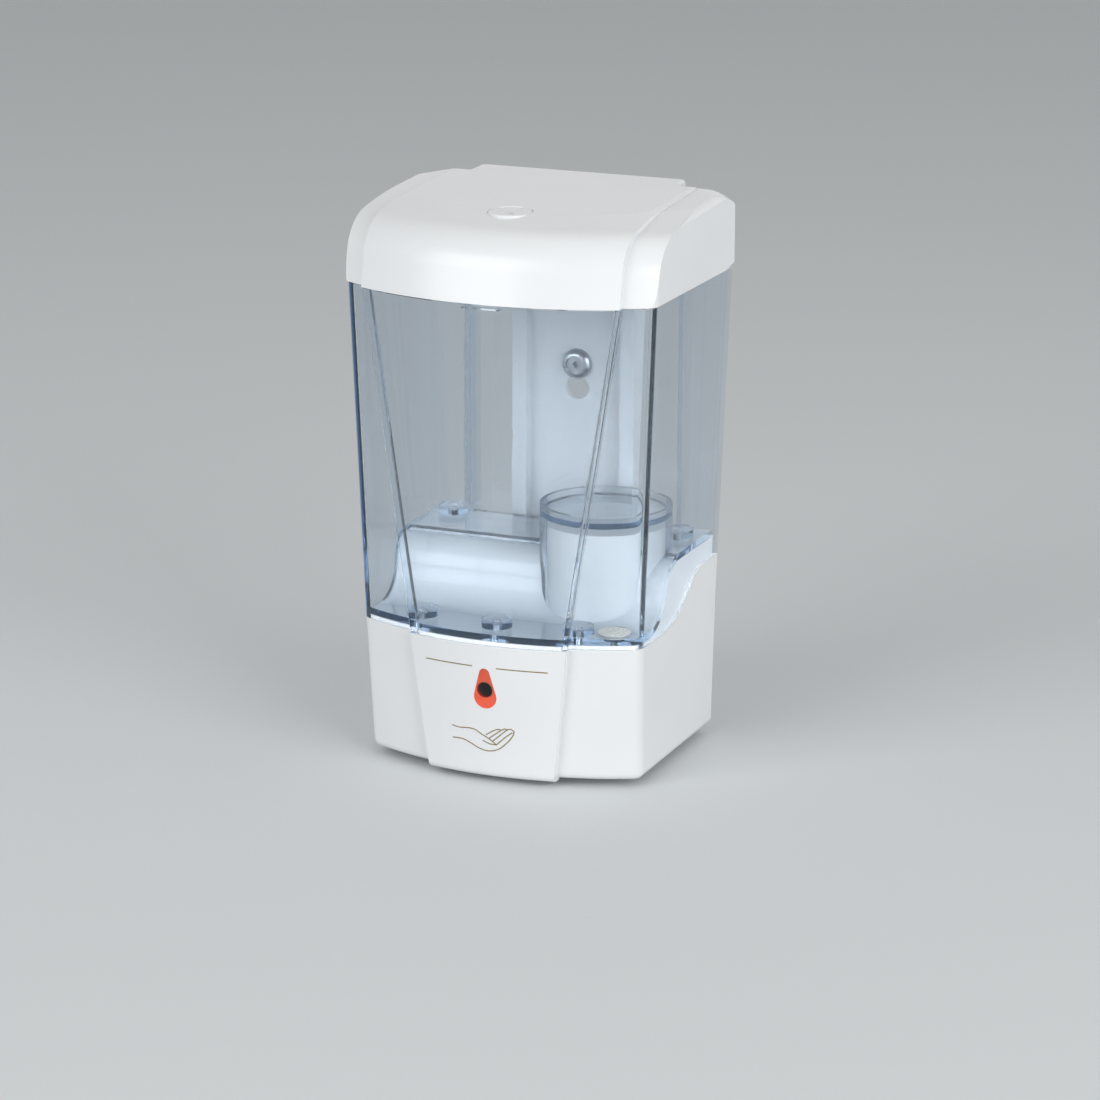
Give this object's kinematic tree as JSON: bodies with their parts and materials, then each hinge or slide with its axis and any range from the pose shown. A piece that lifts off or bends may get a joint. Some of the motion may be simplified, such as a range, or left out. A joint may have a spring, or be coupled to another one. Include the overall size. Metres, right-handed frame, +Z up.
{
  "type": "wall mounted soap dispenser",
  "caption": "Wall soap dispenser with a hand sensor: white base with motor pump and nozzle, clear tank, hinged locking lid and a back plate with a keyhole.",
  "frame": {"origin": "on the wall plane, on the centre line of the back plate, level with the front parting line between base and tank", "axes": "+X to the right seen from the front, +Y into the wall, +Z up"},
  "size_m": [0.1182, 0.1203, 0.2072],
  "materials": {
    "black_plastic": "matt black",
    "board": "green board",
    "cell_sleeve": "dark sleeve",
    "clear_plastic": "clear, faint blue tint",
    "dark_rubber": "black rubber",
    "grey_plastic": "matt grey",
    "iron": "laminated iron",
    "lamp": "red lamp",
    "magnet": "ferrite",
    "natural_plastic": "off white",
    "nickel": "nickel plate",
    "red_window": "red, lets infrared through",
    "silicone": "translucent grey silicone",
    "steel": "bright steel",
    "white_plastic": "smooth glossy white"
  },
  "bodies": {
    "body": {"back_plate": "white_plastic", "back_screws": "steel", "base_housing": "white_plastic", "battery_box": "black_plastic", "battery_cell_1": "cell_sleeve", "battery_cell_2": "cell_sleeve", "battery_cell_3": "cell_sleeve", "battery_cell_4": "cell_sleeve", "board_screws": "steel", "bottom_cover": "white_plastic", "control_chip": "black_plastic", "cover_screws": "steel", "drain_seal": "dark_rubber", "drain_strainer": "natural_plastic", "indicator_lamp": "lamp", "infrared_eye": "black_plastic", "inlet_hose": "silicone", "motor_can": "nickel", "motor_cap": "grey_plastic", "motor_magnets": "magnet", "motor_pad": "dark_rubber", "nozzle": "natural_plastic", "nozzle_valve": "silicone", "outlet_hose": "silicone", "pump_body": "grey_plastic", "pump_cover": "grey_plastic", "pump_gasket": "dark_rubber", "pump_screws": "steel", "sensor_board": "board", "sensor_window": "red_window", "shaft_seal": "dark_rubber", "switch_body": "black_plastic", "tank": "clear_plastic", "tank_screws": "steel", "top_contacts": "nickel", "wall_screw": "steel"},
    "lid": {"lid": "white_plastic", "hinge_pins": "steel"},
    "lock": {"lock_plug": "white_plastic", "lock_ring": "grey_plastic", "lock_cam": "steel", "lock_screw": "steel"},
    "battery_door": {"battery_door": "white_plastic", "door_contacts": "nickel"},
    "switch_knob": {"switch_knob": "grey_plastic"},
    "pump_rotor": {"motor_shaft": "steel", "motor_armature": "iron", "pump_impeller": "natural_plastic"}
  },
  "joints": [
    {"name": "lid_hinge", "type": "hinge", "parent": "body", "child": "lid", "pos_m": [0, -0.0105, 0.14783], "axis": [-1, 0, 0], "range_deg": [0, 85]},
    {"name": "lock_turn", "type": "hinge", "parent": "lid", "child": "lock", "pos_m": [0, -0.07, 0.148], "axis": [0, 0, -1], "range_deg": [0, 90]},
    {"name": "battery_door_hinge", "type": "hinge", "parent": "body", "child": "battery_door", "pos_m": [-0.03025, -0.05245, -0.0453], "axis": [-1, 0, 0], "range_deg": [0, 95]},
    {"name": "switch_slide", "type": "slide", "parent": "body", "child": "switch_knob", "axis": [1, 0, 0], "range_m": [0, 0.003]},
    {"name": "motor_spin", "type": "hinge", "parent": "body", "child": "pump_rotor", "pos_m": [0.025, -0.042, 0], "axis": [0, 0, 1], "continuous": true}
  ]
}
